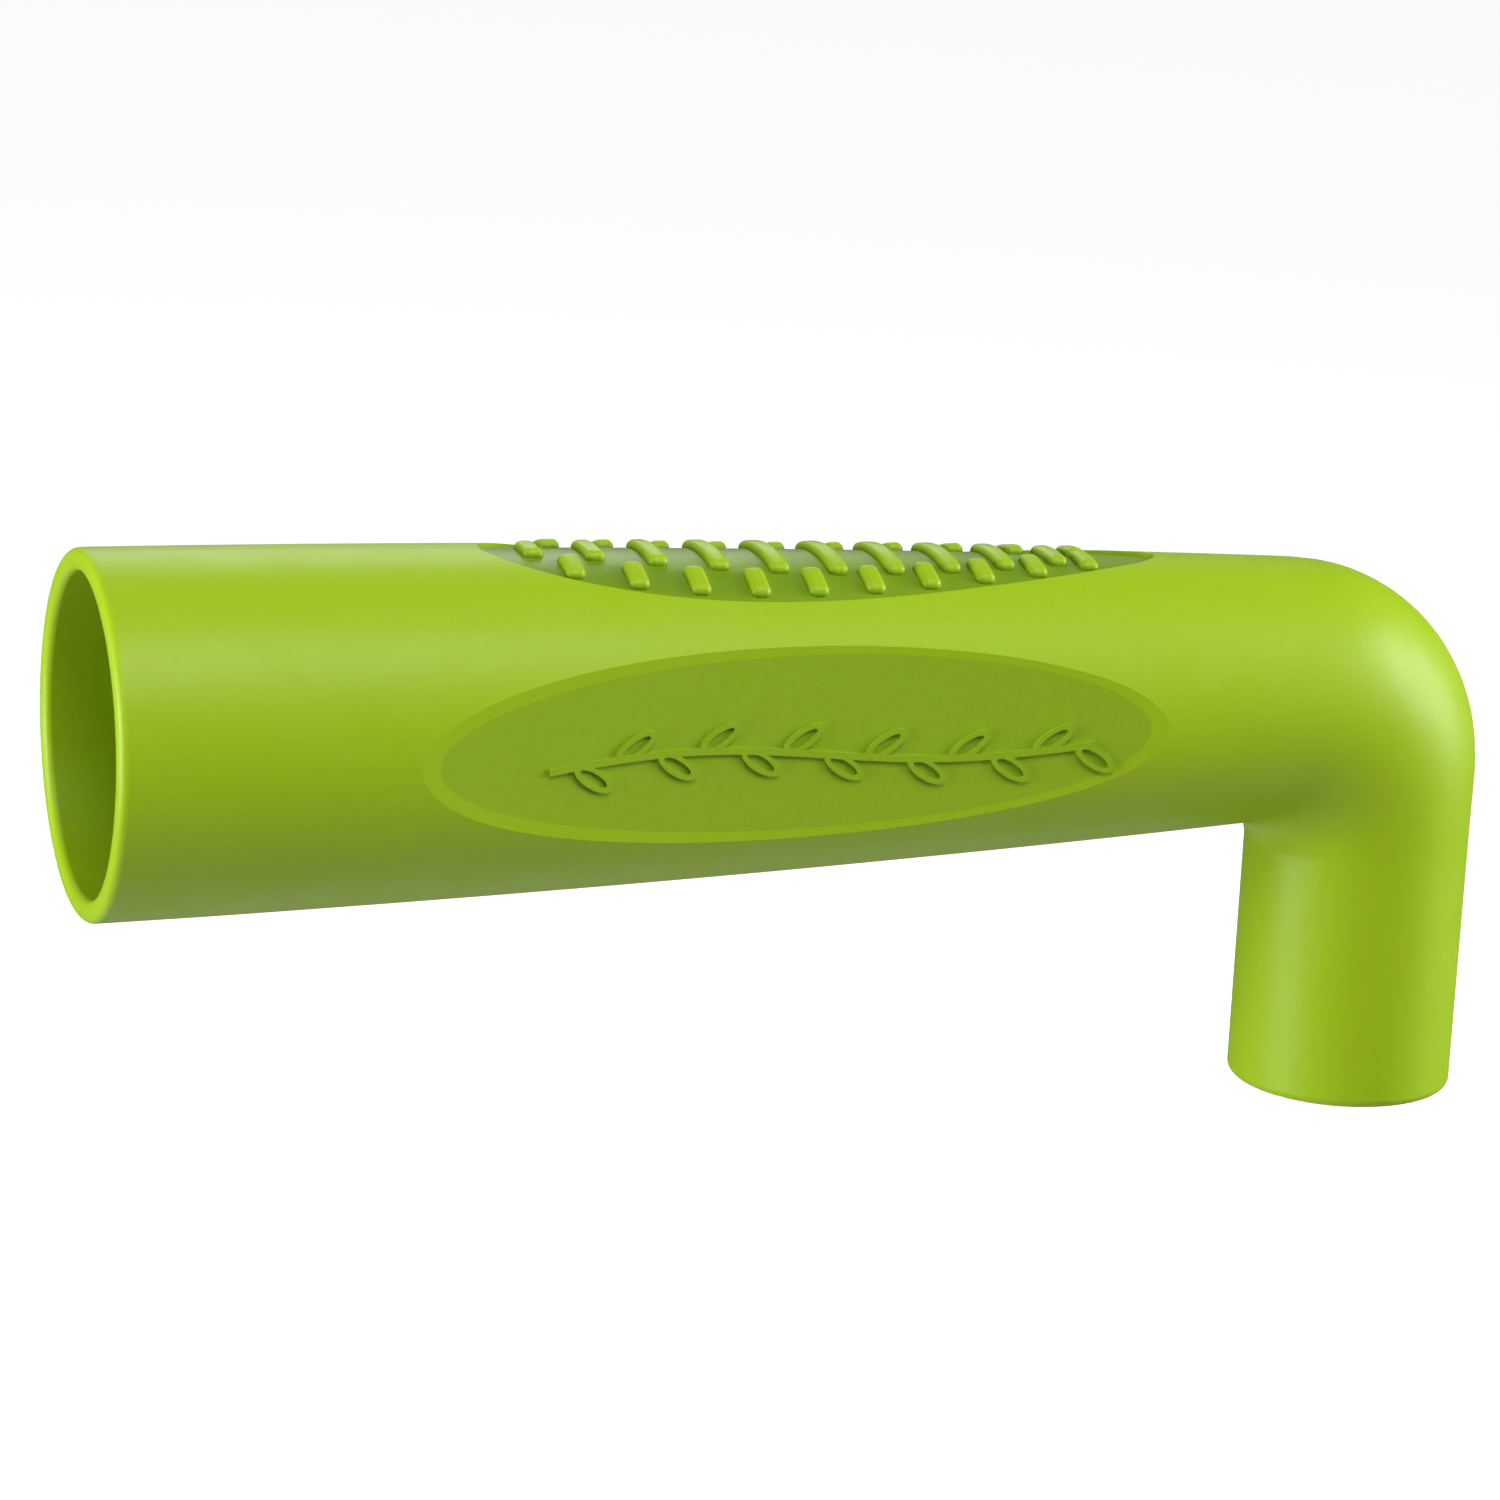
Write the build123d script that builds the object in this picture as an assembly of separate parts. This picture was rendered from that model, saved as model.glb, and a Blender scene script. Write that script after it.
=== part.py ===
from build123d import *
import math
import os

# Angled pouring spout: a hollow grip barrel, a right-angle elbow and a short outlet leg.
# Millimetres. +X runs along the barrel, +Z is up and the outlet leg points down. The XZ
# plane is the mould's parting plane. Lengths along the barrel are counted from the rim of
# the open mouth. Each finished piece is then moved back by the socket's depth, so that the
# origin is the centre of the socket's seat, where a pipe pushed into the mouth stops.

# Barrel
MOUTH_RADIUS = 20.0
SOCKET_RADIUS = 17.5
SOCKET_DEPTH = 16.0
WALL = 3.0
RIM_ROUNDING = 1.0

# Outlet leg
LEG_RADIUS = 12.9
LEG_X = 150.5
LEG_END_Z = -47.2

# Elbow: its sections fan out from a pivot, the centre of the small fillet under the bend.
INNER_FILLET = 3.6
OUTER_CORNER = 24.0
ELBOW_STEP = 10
ELBOW_START_SLOPE = -1.6
BLEND_LENGTH = 1.0

# The barrel's outline is one long arc: it falls by this much, and bows out by this much.
PIVOT_X = LEG_X - LEG_RADIUS - INNER_FILLET
BARREL_FALL = 4.7
BARREL_BOW = 0.8

# Oval finger scoops, one on each side, lined with soft pads
SCOOP_START_X = 32.5
SCOOP_END_X = 118.7
SCOOP_DEPTH = 3.5
PAD_THICKNESS = 1.2
PAD_MARGIN = 1.0
SCOOP_BACKING = 1.8

# Sprig ornament raised on each pad
SPRIG_HEIGHT = 0.35
SPRIG_ROOT = 0.2
SPRIG_LINE = 0.75
SPRIG_START_X = 47.0
SPRIG_END_X = 110.0
SPRIG_Z = -1.4
SPRIG_SWING = 1.1
STEM_POINTS = 9
SPRIG_LEAVES = 13
FIRST_LEAF = 0.6
LEAF_LENGTH = 5.2
LEAF_WIDTH = 2.2
LEAF_LEAN = 32.0
LEAF_SIDE_LINE = 0.52

# Lens-shaped grip strip on top, with its bars
STRIP_MIDDLE_X = 83.0
STRIP_HALF_LENGTH = 39.5
STRIP_HALF_WIDTH = 10.3
STRIP_SKEW = 0.3
STRIP_POINTS = 24
STRIP_SINK = 0.5
STRIP_THICKNESS = 1.1
STRIP_RUN_OUT = 5.0
NUB_WIDTH = 2.3
NUB_DEPTH = 1.8
NUB_ROUNDING = 0.8
NUB_PROUD = 0.45
NUB_PITCH = 6.75
NUB_FIRST_X = 49.1
NUB_COUNT = 10
SIDE_NUB_LENGTH = 4.6
SHORT_NUB_HALF = 2.4
LONG_NUB_HALF = 6.2
SIDE_NUB_INSET = 0.8

# Lengths that only have to be long enough or small enough
CUTTER_LENGTH = 3 * MOUTH_RADIUS
TINY = 1e-6
NEAR = 0.01


def barrel_radius(x):
    """Outer radius of the barrel at a distance x from the mouth."""
    t = x / PIVOT_X
    return MOUTH_RADIUS - BARREL_FALL * t + 4 * BARREL_BOW * t * (1 - t)


PIVOT_Z = -barrel_radius(PIVOT_X) - INNER_FILLET


def barrel(inset, start, end):
    """Solid of revolution that lies `inset` inside the barrel's outer surface."""
    middle = (start + end) / 2
    top = [(x, barrel_radius(x) - inset) for x in (start, middle, end)]
    outline = ThreePointArc(*top) + Polyline(top[2], (end, 0), (start, 0), top[0])
    profile = Plane.XZ * make_face(outline)
    return revolve(profile, Axis.X, 360)


def outer_reach(angle):
    """Distance from the elbow's pivot to its outer outline, at an angle from straight up.

    The outline is the barrel's top carried on, the leg's right side, and an arc between them.
    """
    radius = barrel_radius(PIVOT_X)
    slope = radius - barrel_radius(PIVOT_X - 1)
    right = LEG_X + LEG_RADIUS
    corner_z = radius + slope * (right - PIVOT_X)
    opening = math.pi / 2 + math.atan(-slope)
    run = OUTER_CORNER / math.tan(opening / 2)
    centre_x = right - OUTER_CORNER
    centre_z = corner_z - run
    side = math.sin(angle)
    up = math.cos(angle)
    to_right = (right - PIVOT_X) / max(side, TINY)
    to_top = (radius - PIVOT_Z) / (up - slope * side)
    if PIVOT_Z + to_right * up <= centre_z:
        return to_right
    if PIVOT_X + to_top * side <= right - run:
        return to_top
    dx = PIVOT_X - centre_x
    dz = PIVOT_Z - centre_z
    along = dx * side + dz * up
    return -along + math.sqrt(along**2 - dx**2 - dz**2 + OUTER_CORNER**2)


def elbow_section(degrees, inset):
    """Ellipse across the elbow, in the half-plane through the pivot at this angle.

    Its half width runs as a cubic from the barrel's radius to the leg's.
    """
    angle = math.radians(degrees)
    k = degrees / 90
    from_barrel = barrel_radius(PIVOT_X) * (2 * k**3 - 3 * k**2 + 1)
    from_leg = LEG_RADIUS * (3 * k**2 - 2 * k**3)
    half_width = from_barrel + from_leg + ELBOW_START_SLOPE * (k**3 - 2 * k**2 + k)
    reach = outer_reach(angle)
    half_height = (reach - INNER_FILLET) / 2
    middle = (reach + INNER_FILLET) / 2
    side = math.sin(angle)
    up = math.cos(angle)
    centre = (PIVOT_X + middle * side, 0, PIVOT_Z + middle * up)
    plane = Plane(centre, x_dir=(-side, 0, -up), z_dir=(up, 0, -side))
    return plane * Ellipse(half_height - inset, half_width - inset)


def tube(inset, start, end_z):
    """The whole bent tube as one solid, `inset` inside the outer surface."""
    barrel_end = PIVOT_X - BLEND_LENGTH
    leg_top = PIVOT_Z - BLEND_LENGTH
    sections = []
    for x in (barrel_end, PIVOT_X):
        plane = Plane((x, 0, 0), x_dir=(0, 0, -1), z_dir=(1, 0, 0))
        sections.append(plane * Circle(barrel_radius(x) - inset))
    for degrees in range(ELBOW_STEP, 90, ELBOW_STEP):
        sections.append(elbow_section(degrees, inset))
    for z in (PIVOT_Z, leg_top):
        plane = Plane((LEG_X, 0, z), x_dir=(-1, 0, 0), z_dir=(0, 0, -1))
        sections.append(plane * Circle(LEG_RADIUS - inset))
    bend = loft(sections)
    leg = Pos(LEG_X, 0, (leg_top + end_z) / 2) * Cylinder(LEG_RADIUS - inset, leg_top - end_z)
    return barrel(inset, start, barrel_end) + bend + leg


def scoop(side, grow):
    """Upright cylinder that cuts the finger scoop on one side, grown by `grow`."""
    start = (SCOOP_START_X, barrel_radius(SCOOP_START_X))
    end = (SCOOP_END_X, barrel_radius(SCOOP_END_X))
    middle_x = (SCOOP_START_X + SCOOP_END_X) / 2
    chord_y = (start[1] + end[1]) / 2
    sagitta = chord_y - barrel_radius(middle_x) + SCOOP_DEPTH
    half_chord = math.dist(start, end) / 2
    radius = half_chord**2 / (2 * sagitta) + sagitta / 2
    tilt = math.atan2(end[1] - start[1], end[0] - start[0])
    lift = radius - sagitta
    centre_x = middle_x - lift * math.sin(tilt)
    centre_y = chord_y + lift * math.cos(tilt)
    return Pos(centre_x, side * centre_y, 0) * Cylinder(radius + grow, CUTTER_LENGTH)


def through(sketch, side):
    """A prism along Y on one side of the barrel, from a sketch drawn in x and z."""
    plane = Plane((0, 0, 0), x_dir=(1, 0, 0), z_dir=(0, -1, 0))
    return extrude(plane * sketch, -side * CUTTER_LENGTH)


def pad_outline():
    """Oval seen from the side, a little inside the scoop's edge."""
    middle_x = (SCOOP_START_X + SCOOP_END_X) / 2
    radius = barrel_radius(middle_x)
    half_height = math.sqrt(radius**2 - (radius - SCOOP_DEPTH) ** 2)
    half_length = (SCOOP_END_X - SCOOP_START_X) / 2
    return Pos(middle_x, 0) * Ellipse(half_length - 2 * PAD_MARGIN, half_height - PAD_MARGIN)


def stem_point(share):
    """Point of the ornament's stem, one wave long, at this share of its length."""
    x = SPRIG_START_X + (SPRIG_END_X - SPRIG_START_X) * share
    return (x, SPRIG_Z + SPRIG_SWING * math.sin(2 * math.pi * share))


def sprig_outline():
    """A waving stem with hollow leaves above and below it in turn, drawn in x and z."""
    points = [stem_point(i / (STEM_POINTS - 1)) for i in range(STEM_POINTS)]
    sprig = trace(Spline(*points), SPRIG_LINE)
    leaf = Ellipse(LEAF_LENGTH / 2, LEAF_WIDTH / 2)
    leaf -= Ellipse(LEAF_LENGTH / 2 - SPRIG_LINE, LEAF_WIDTH / 2 - LEAF_SIDE_LINE)
    for i in range(SPRIG_LEAVES):
        x, z = stem_point((i + FIRST_LEAF) / SPRIG_LEAVES)
        lean = LEAF_LEAN if i % 2 else -LEAF_LEAN
        sprig += Pos(x, z) * Rot(0, 0, lean) * Pos(LEAF_LENGTH / 2, 0) * leaf
    return sprig


def thumb_pad(side):
    """Oval pad that lines the scoop, with the ornament raised on it."""
    base = through(pad_outline(), side) & (scoop(side, PAD_THICKNESS) - scoop(side, 0))
    layer = scoop(side, SPRIG_ROOT) - scoop(side, -SPRIG_HEIGHT)
    return base + (through(sprig_outline(), side) & layer)


def strip_half_width(x):
    """Half width of the lens outline at x, a half ellipse that is fuller at the mouth's end."""
    t = (x - STRIP_MIDDLE_X) / STRIP_HALF_LENGTH
    return STRIP_HALF_WIDTH * math.sqrt(max(0, 1 - t**2)) * (1 - STRIP_SKEW * t)


def strip_prism():
    """Lens outline of the grip strip, seen from above, as a prism over the barrel's top."""
    points = []
    for i in range(STRIP_POINTS):
        turn = 2 * math.pi * i / STRIP_POINTS
        x = STRIP_MIDDLE_X - STRIP_HALF_LENGTH * math.cos(turn)
        points.append((x, math.copysign(strip_half_width(x), math.sin(turn))))
    return extrude(make_face(Spline(*points, periodic=True)), CUTTER_LENGTH)


def strip_layer(top, bottom):
    """Layer of the barrel's top under the lens outline, between two depths."""
    start = STRIP_MIDDLE_X - STRIP_HALF_LENGTH - STRIP_RUN_OUT
    end = PIVOT_X - BLEND_LENGTH
    return (barrel(top, start, end) - barrel(bottom, start, end)) & strip_prism()


def nub(x, centre_y, length):
    """Round-ended bar that lies across the strip and follows its curve."""
    outer = barrel_radius(x) + NUB_PROUD
    middle = outer - NUB_DEPTH / 2
    half_turn = (length - NUB_DEPTH) / 2 / middle
    centre_turn = math.asin(centre_y / middle)
    turns = (centre_turn - half_turn, centre_turn, centre_turn + half_turn)
    arc = ThreePointArc(*[(middle * math.sin(turn), middle * math.cos(turn)) for turn in turns])
    profile = Plane.YZ.offset(x - NUB_WIDTH / 2) * SlotArc(arc, NUB_DEPTH)
    bar = extrude(profile, NUB_WIDTH)
    return fillet(bar.edges().filter_by(GeomType.CIRCLE), NUB_ROUNDING)


def nub_strip():
    """Soft strip with a middle row of bars and, half a pitch on, a shorter row at each side."""
    strip = strip_layer(STRIP_SINK, STRIP_SINK + STRIP_THICKNESS)
    bars = []
    for i in range(NUB_COUNT):
        x = NUB_FIRST_X + i * NUB_PITCH
        t = (x - STRIP_MIDDLE_X) / STRIP_HALF_LENGTH
        half = max(SHORT_NUB_HALF, LONG_NUB_HALF * (1 - t**2))
        bars.append(nub(x, 0, 2 * half))
        beside = x + NUB_PITCH / 2
        edge = strip_half_width(beside) - SIDE_NUB_INSET
        length = min(SIDE_NUB_LENGTH, edge)
        for side in (-1, 1):
            bars.append(nub(beside, side * (edge - length / 2), length))
    return strip + bars


def spout_body():
    """The hollow moulding, with its socket, scoops and the pockets for the soft pieces."""
    body = tube(0, 0, LEG_END_Z)
    hollow = tube(WALL, SOCKET_DEPTH, LEG_END_Z)
    hollow += Pos(SOCKET_DEPTH / 2, 0, 0) * Rot(0, 90, 0) * Cylinder(SOCKET_RADIUS, SOCKET_DEPTH)
    for side in (-1, 1):
        hollow -= scoop(side, PAD_THICKNESS + SCOOP_BACKING)
    body -= hollow
    rims = body.edges().filter_by_position(Axis.X, -NEAR, NEAR)
    rims += body.edges().filter_by_position(Axis.Z, LEG_END_Z - NEAR, LEG_END_Z + NEAR)
    body = fillet(rims, RIM_ROUNDING)
    for side in (-1, 1):
        body -= scoop(side, 0)
        body -= through(pad_outline(), side) & scoop(side, PAD_THICKNESS)
    body -= strip_layer(-STRIP_SINK, STRIP_SINK + STRIP_THICKNESS)
    return body


def main():
    """Writes each piece to its own file, with the origin at the socket's seat."""
    os.makedirs("parts", exist_ok=True)
    nodes = {
        "spout_body": spout_body(),
        "nub_strip": nub_strip(),
        "thumb_pad_left": thumb_pad(1),
        "thumb_pad_right": thumb_pad(-1),
    }
    for name, shape in nodes.items():
        export_step(Pos(-SOCKET_DEPTH, 0, 0) * shape, f"parts/{name}.step")
        print(name, len(shape.solids()), round(shape.volume), shape.is_valid)


main()
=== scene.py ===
import math

import bpy
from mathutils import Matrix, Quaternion, Vector


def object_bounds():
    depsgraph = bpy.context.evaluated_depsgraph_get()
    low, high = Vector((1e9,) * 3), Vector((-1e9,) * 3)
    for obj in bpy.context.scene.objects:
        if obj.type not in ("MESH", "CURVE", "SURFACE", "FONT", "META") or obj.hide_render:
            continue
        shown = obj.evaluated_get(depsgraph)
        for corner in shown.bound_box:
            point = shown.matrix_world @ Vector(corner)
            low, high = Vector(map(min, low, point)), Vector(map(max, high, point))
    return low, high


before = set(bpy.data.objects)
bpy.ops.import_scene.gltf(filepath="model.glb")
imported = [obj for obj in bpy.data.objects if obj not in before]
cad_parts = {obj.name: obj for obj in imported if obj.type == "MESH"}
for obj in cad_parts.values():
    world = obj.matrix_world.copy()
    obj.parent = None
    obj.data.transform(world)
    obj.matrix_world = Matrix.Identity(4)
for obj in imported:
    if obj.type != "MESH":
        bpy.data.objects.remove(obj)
cad_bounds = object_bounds()

# Metres, degrees and watts, unless a comment says otherwise. Colours are linear RGB.

# Camera: a long lens, turned towards the open mouth and a little above the barrel.
CAMERA_AIM = Vector((0.0603, 0.0019, -0.0053))
CAMERA_DISTANCE = 0.610
CAMERA_AZIMUTH = -19.8
CAMERA_ELEVATION = 15.0
CAMERA_ROLL = 2.84
CAMERA_LENS = 132.0  # mm
SENSOR_WIDTH = 36.0  # mm

# The floor lies well below the part, which is held by its socket and touches nothing.
FLOOR_DROP = 0.20
FLOOR_SIZE = 8.0
FLOOR_COLOUR = (0.80, 0.80, 0.80)
FLOOR_ROUGHNESS = 0.9
FLOOR_SPECULAR = 0.1
FLOOR_GLOW = 0.85

# Soft boxes: azimuth, elevation, distance, width, height, power.
SOFT_BOXES = {
    "top_light": (0, 57, 0.90, 0.60, 0.40, 4.7),
    "left_light": (-86, 2, 0.80, 0.40, 0.50, 7.0),
    "right_light": (76, 14, 0.80, 0.40, 0.50, 5.8),
    "back_light": (172, 30, 0.90, 0.50, 0.40, 1.6),
}

# Surroundings: one strength above and all round, which rises to another straight below. The
# rise runs between two values of the Z of a ray's direction, and the second is straight down.
WORLD_SIDES = 0.11
WORLD_BELOW = 0.80
RISE_START = -0.4
RISE_END = -1.0

WHITE = (1.0, 1.0, 1.0)
GREEN = (0.360, 0.560, 0.006)
GREEN_PALE = (0.400, 0.600, 0.012)
GREEN_DEEP = (0.300, 0.490, 0.006)
# The thumb pads' green: the body's green darkened, as painted shade for the front-facing pads.
GREEN_PAD_PAINTED_SHADE = (0.285, 0.470, 0.010)
# Painted shade for the strip's base, between its bars.
GREEN_PAINTED_GAP_SHADE = (0.190, 0.340, 0.008)

# Plastic: each layer of noise has its scale per metre and its detail. The grain has a noise
# roughness of its own as well.
NOISE_ROUGHNESS = 0.55
DRIFT_NOISE = (18.0, 2.0)
DRIFT_MIX = 0.25
SPECKLE_NOISE = (900.0, 2.0)
SPECKLE_MIX = 0.18
COLOUR_NOISE_RANGE = (0.35, 0.65)
GLOSS_NOISE = (140.0, 4.0)
GLOSS_NOISE_RANGE = (0.3, 0.7)
GLOSS_SPREAD = (-0.04, 0.06)
GRAIN_NOISE = (1900.0, 3.0, 0.6)
GRAIN_DEPTH = 0.00008
WAVE_NOISE = (60.0, 2.0)
WAVE_STRENGTH = 0.12
WAVE_DEPTH = 0.0003
PLASTIC_SPECULAR = 0.35

# Roughness and grain strength of each material.
BODY_SURFACE = (0.42, 0.25)
STRIP_SURFACE = (0.38, 0.18)
PAD_SURFACE = (0.50, 0.30)

# Painted shade on the strip: its colour darkens from its bars' tops to its base, between the
# bars. The two levels are radii about the barrel's axis at X = 0, and the barrel's radius
# shrinks by the taper for each metre of X.
STRIP_BOTTOM_RADIUS = 0.0200
STRIP_TOP_RADIUS = 0.0206
STRIP_TAPER = 0.0406


def direction(azimuth, elevation):
    """Unit vector away from the part. Azimuth 0 is the front, -Y, and -90 is -X."""
    a = math.radians(azimuth)
    e = math.radians(elevation)
    return Vector((math.sin(a) * math.cos(e), -math.cos(a) * math.cos(e), math.sin(e)))


def add_camera():
    """The scene's camera, looking at the aim point from the photograph's side."""
    data = bpy.data.cameras.new("camera")
    data.lens = CAMERA_LENS
    data.sensor_width = SENSOR_WIDTH
    camera = bpy.data.objects.new("camera", data)
    back = direction(CAMERA_AZIMUTH, CAMERA_ELEVATION)
    roll = Quaternion((0, 0, 1), math.radians(CAMERA_ROLL))
    camera.location = CAMERA_AIM + back * CAMERA_DISTANCE
    camera.rotation_mode = "QUATERNION"
    camera.rotation_quaternion = back.to_track_quat("Z", "Y") @ roll
    bpy.context.scene.collection.objects.link(camera)
    bpy.context.scene.camera = camera


def add_area_light(name, place, away, width, height, power):
    """A rectangular area light at a place, with its back to the direction `away`."""
    data = bpy.data.lights.new(name, "AREA")
    data.shape = "RECTANGLE"
    data.size = width
    data.size_y = height
    data.energy = power
    lamp = bpy.data.objects.new(name, data)
    lamp.location = place
    lamp.rotation_mode = "QUATERNION"
    lamp.rotation_quaternion = away.to_track_quat("Z", "Y")
    bpy.context.scene.collection.objects.link(lamp)


def add_world():
    """Plain grey surroundings that get lighter towards straight below, as over a pale table."""
    world = bpy.data.worlds.new("studio")
    world.use_nodes = True
    nodes = world.node_tree.nodes
    links = world.node_tree.links
    ray = nodes.new("ShaderNodeTexCoord").outputs["Generated"]
    split = nodes.new("ShaderNodeSeparateXYZ")
    links.new(ray, split.inputs["Vector"])
    below = nodes.new("ShaderNodeMapRange")
    below.inputs["From Min"].default_value = RISE_START
    below.inputs["From Max"].default_value = RISE_END
    below.inputs["To Min"].default_value = WORLD_SIDES
    below.inputs["To Max"].default_value = WORLD_BELOW
    links.new(split.outputs["Z"], below.inputs["Value"])
    background = nodes["Background"]
    background.inputs["Color"].default_value = (*WHITE, 1.0)
    links.new(below.outputs["Result"], background.inputs["Strength"])
    bpy.context.scene.world = world


def add_studio():
    """The surroundings, the soft boxes and a view transform that keeps the green saturated."""
    add_world()
    bpy.context.scene.view_settings.view_transform = "Standard"
    for name, (azimuth, elevation, distance, width, height, power) in SOFT_BOXES.items():
        away = direction(azimuth, elevation)
        add_area_light(name, CAMERA_AIM + away * distance, away, width, height, power)


def add_floor():
    """A plain white floor with a glow of its own, which throws no light back on the part."""
    low = cad_bounds[0][2] - FLOOR_DROP
    bpy.ops.mesh.primitive_plane_add(size=FLOOR_SIZE, location=(0, 0, low))
    floor = bpy.context.object
    floor.name = "floor"
    floor.visible_diffuse = False
    floor.visible_glossy = False
    material = bpy.data.materials.new("floor_pale")
    material.use_nodes = True
    shader = material.node_tree.nodes["Principled BSDF"]
    shader.inputs["Base Color"].default_value = (*FLOOR_COLOUR, 1.0)
    shader.inputs["Roughness"].default_value = FLOOR_ROUGHNESS
    shader.inputs["Specular IOR Level"].default_value = FLOOR_SPECULAR
    shader.inputs["Emission Color"].default_value = (*WHITE, 1.0)
    shader.inputs["Emission Strength"].default_value = FLOOR_GLOW
    floor.data.materials.append(material)


class Graph:
    """Short helper for a material's node tree."""

    def __init__(self, name):
        self.material = bpy.data.materials.new(name)
        self.material.use_nodes = True
        self.nodes = self.material.node_tree.nodes
        self.links = self.material.node_tree.links
        self.shader = self.nodes["Principled BSDF"]
        self.place = self.nodes.new("ShaderNodeTexCoord").outputs["Object"]

    def add(self, kind, **sockets):
        """A new node with the named inputs set or linked."""
        node = self.nodes.new(kind)
        for name, value in sockets.items():
            self.put(node.inputs[name.replace("_", " ")], value)
        return node

    def put(self, socket, value):
        """Links an output to a socket, or sets the socket to a plain value."""
        if isinstance(value, bpy.types.NodeSocket):
            self.links.new(value, socket)
        else:
            socket.default_value = value

    def noise(self, scale, detail, roughness=NOISE_ROUGHNESS):
        """Noise in the part's own coordinates."""
        node = self.add("ShaderNodeTexNoise", Scale=scale, Detail=detail, Roughness=roughness)
        self.links.new(self.place, node.inputs["Vector"])
        return node.outputs["Fac"]

    def ramp(self, value, source, target):
        """Maps a value from one range to another, and clamps it there."""
        return self.add(
            "ShaderNodeMapRange",
            Value=value,
            From_Min=source[0],
            From_Max=source[1],
            To_Min=target[0],
            To_Max=target[1],
        ).outputs["Result"]

    def mix(self, share, a, b):
        """Mixes two colours, from `a` at 0 to `b` at 1."""
        node = self.nodes.new("ShaderNodeMix")
        node.data_type = "RGBA"
        self.put(node.inputs[0], share)
        for socket, value in ((node.inputs[6], a), (node.inputs[7], b)):
            self.put(socket, (*value, 1.0) if isinstance(value, tuple) else value)
        return node.outputs[2]

    def math(self, operation, a, b=None):
        """One arithmetic step on one or two values."""
        node = self.nodes.new("ShaderNodeMath")
        node.operation = operation
        self.put(node.inputs[0], a)
        if b is not None:
            self.put(node.inputs[1], b)
        return node.outputs[0]

    def bump(self, height, strength, distance, under=None):
        """A bumped normal, laid over another one if there is one."""
        node = self.add("ShaderNodeBump", Height=height, Strength=strength, Distance=distance)
        if under is not None:
            self.links.new(under, node.inputs["Normal"])
        return node.outputs["Normal"]


def moulded_plastic(name, deep, main, pale, surface):
    """Satin plastic: slowly drifting colour, a fine pale speckle and a moulded grain."""
    roughness, grain = surface
    g = Graph(name)
    drift = g.ramp(g.noise(*DRIFT_NOISE), COLOUR_NOISE_RANGE, (0.0, DRIFT_MIX))
    speckle = g.ramp(g.noise(*SPECKLE_NOISE), COLOUR_NOISE_RANGE, (0.0, SPECKLE_MIX))
    colour = g.mix(speckle, g.mix(drift, main, deep), pale)
    g.put(g.shader.inputs["Base Color"], colour)
    spread = tuple(roughness + step for step in GLOSS_SPREAD)
    gloss = g.ramp(g.noise(*GLOSS_NOISE), GLOSS_NOISE_RANGE, spread)
    g.put(g.shader.inputs["Roughness"], gloss)
    g.shader.inputs["Specular IOR Level"].default_value = PLASTIC_SPECULAR
    fine = g.bump(g.noise(*GRAIN_NOISE), grain, GRAIN_DEPTH)
    wavy = g.bump(g.noise(*WAVE_NOISE), WAVE_STRENGTH, WAVE_DEPTH, under=fine)
    g.put(g.shader.inputs["Normal"], wavy)
    return g, colour


def strip_elastomer():
    """The grip strip's material: the body's green on the bars, with painted shade between them.
    """
    g, colour = moulded_plastic("grip_green", GREEN_DEEP, GREEN, GREEN_PALE, STRIP_SURFACE)
    split = g.add("ShaderNodeSeparateXYZ", Vector=g.place)
    across = g.math("MULTIPLY", split.outputs["Y"], split.outputs["Y"])
    up = g.math("MULTIPLY", split.outputs["Z"], split.outputs["Z"])
    radius = g.math("SQRT", g.math("ADD", across, up))
    level = g.math("ADD", radius, g.math("MULTIPLY", split.outputs["X"], STRIP_TAPER))
    tops = g.ramp(level, (STRIP_BOTTOM_RADIUS, STRIP_TOP_RADIUS), (0.0, 1.0))
    # Painted shade: the green darkens towards the strip's base, between the bars.
    g.put(g.shader.inputs["Base Color"], g.mix(tops, GREEN_PAINTED_GAP_SHADE, colour))
    return g.material


def dress(node, material):
    """Puts one material in every slot of a CAD node."""
    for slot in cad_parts[node].material_slots:
        slot.material = material


def main():
    """Sets up the camera, the studio, the floor and the four pieces' materials."""
    add_camera()
    add_studio()
    add_floor()
    body, _ = moulded_plastic("body_green", GREEN_DEEP, GREEN, GREEN_PALE, BODY_SURFACE)
    # The pads' main colour is a darker copy of the body's green, painted shade.
    pad, _ = moulded_plastic("pad_green", GREEN_DEEP, GREEN_PAD_PAINTED_SHADE, GREEN, PAD_SURFACE)
    dress("spout_body", body.material)
    dress("nub_strip", strip_elastomer())
    dress("thumb_pad_left", pad.material)
    dress("thumb_pad_right", pad.material)


main()
